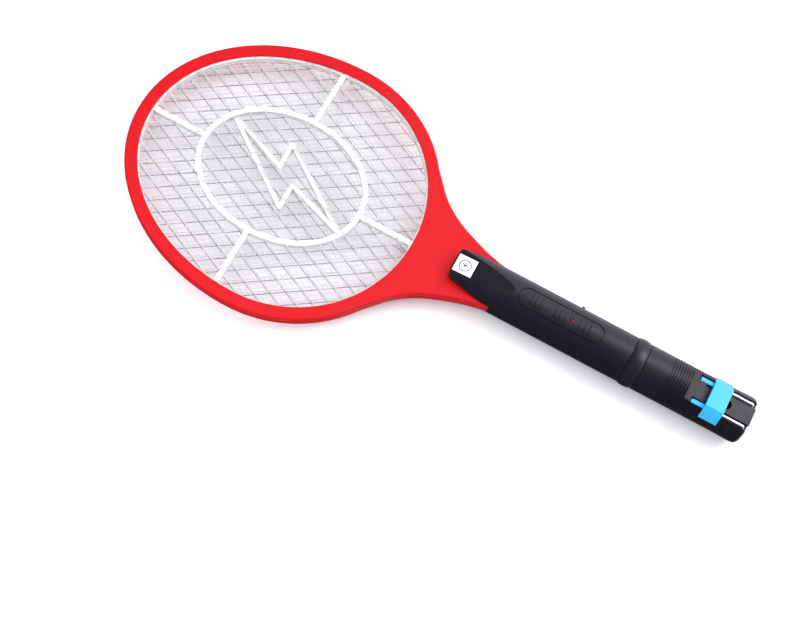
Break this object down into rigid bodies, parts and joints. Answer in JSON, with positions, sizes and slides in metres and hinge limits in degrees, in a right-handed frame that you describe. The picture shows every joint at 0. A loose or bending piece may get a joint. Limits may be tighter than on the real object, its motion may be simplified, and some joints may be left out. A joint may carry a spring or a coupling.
{
  "type": "electric fly swatter",
  "caption": "Racket-shaped electric fly swatter: oval head with layered wire grids and a lightning emblem, round handle with a mains plug that slides out of the tail.",
  "frame": {"origin": "middle of the length and width, at the height of the collar's underside", "axes": "+X along the handle from the head to the tail, +Y in the plane of the head towards the side controls, +Z out of the front face that carries the label and the plug"},
  "size_m": [0.5258, 0.223, 0.0392],
  "materials": {
    "red_frame": "satin with a fine moulded grain",
    "white_spacer": "satin white plastic",
    "grid_wire": "bright drawn steel wire",
    "terminal_metal": "tinned",
    "black_insulation": "smooth wire insulation",
    "red_insulation": "smooth wire insulation",
    "black_shell": "satin black with a fine texture",
    "black_collar": "semi-gloss black",
    "white_label": "printed film label, left without its mark",
    "blue_plastic": "satin sky blue",
    "pin_metal": "nickel-plated brass",
    "contact_metal": "spring strip",
    "switch_metal": "pressed tin plate",
    "black_knob": "satin",
    "red_knob": "satin",
    "black_component": "moulded epoxy",
    "red_led": "clear tinted resin",
    "green_board": "solder mask",
    "ferrite": "dull",
    "winding_tape": "yellow tape over copper",
    "film_capacitor": "dipped epoxy",
    "resistor_body": "lacquer",
    "cell_wrap": "plain shrink sleeve over a steel can",
    "screw_steel": "zinc plated"
  },
  "bodies": {
    "swatter_body": {"front_frame": "red_frame", "rear_frame": "red_frame", "front_spacer": "white_spacer", "rear_spacer": "white_spacer", "front_mesh": "grid_wire", "rear_mesh": "grid_wire", "center_mesh": "grid_wire", "mesh_terminal": "terminal_metal", "outer_mesh_link": "terminal_metal", "outer_mesh_lead": "black_insulation", "center_mesh_lead": "red_insulation", "front_handle_shell": "black_shell", "rear_handle_shell": "black_shell", "collar_ring": "black_collar", "tail_cap": "black_shell", "label_plate": "white_label", "plug_contact_left": "contact_metal", "plug_contact_right": "contact_metal", "power_switch_body": "switch_metal", "mode_switch_body": "switch_metal", "trigger_switch_body": "black_component", "indicator_led": "red_led", "circuit_board": "green_board", "transformer_core": "ferrite", "transformer_winding": "winding_tape", "high_voltage_capacitor": "film_capacitor", "multiplier_capacitor": "film_capacitor", "transistor": "black_component", "rectifier_diode_1": "black_component", "rectifier_diode_2": "black_component", "charging_resistor": "resistor_body", "discharge_resistor": "resistor_body", "cell_left": "cell_wrap", "cell_right": "cell_wrap", "cell_tab_positive": "contact_metal", "cell_tab_negative": "contact_metal", "cell_link": "contact_metal", "handle_screw_1": "screw_steel", "handle_screw_2": "screw_steel", "handle_screw_3": "screw_steel", "neck_screw_1": "screw_steel", "neck_screw_2": "screw_steel"},
    "plug": {"plug_slider": "blue_plastic", "plug_pin_left": "pin_metal", "plug_pin_right": "pin_metal"},
    "power_knob": {"power_switch_knob": "black_knob"},
    "mode_knob": {"mode_switch_knob": "red_knob"},
    "trigger": {"trigger_button": "blue_plastic"}
  },
  "joints": [
    {"name": "plug_slide", "type": "slide", "parent": "swatter_body", "child": "plug", "axis": [1, 0, 0], "range_m": [0, 0.0205]},
    {"name": "power_switch_slide", "type": "slide", "parent": "swatter_body", "child": "power_knob", "axis": [1, 0, 0], "range_m": [0, 0.003]},
    {"name": "mode_switch_slide", "type": "slide", "parent": "swatter_body", "child": "mode_knob", "axis": [1, 0, 0], "range_m": [0, 0.003]},
    {"name": "trigger_press", "type": "slide", "parent": "swatter_body", "child": "trigger", "axis": [0, -1, 0], "range_m": [0, 0.0008], "stiffness_N_per_m": 1200}
  ]
}
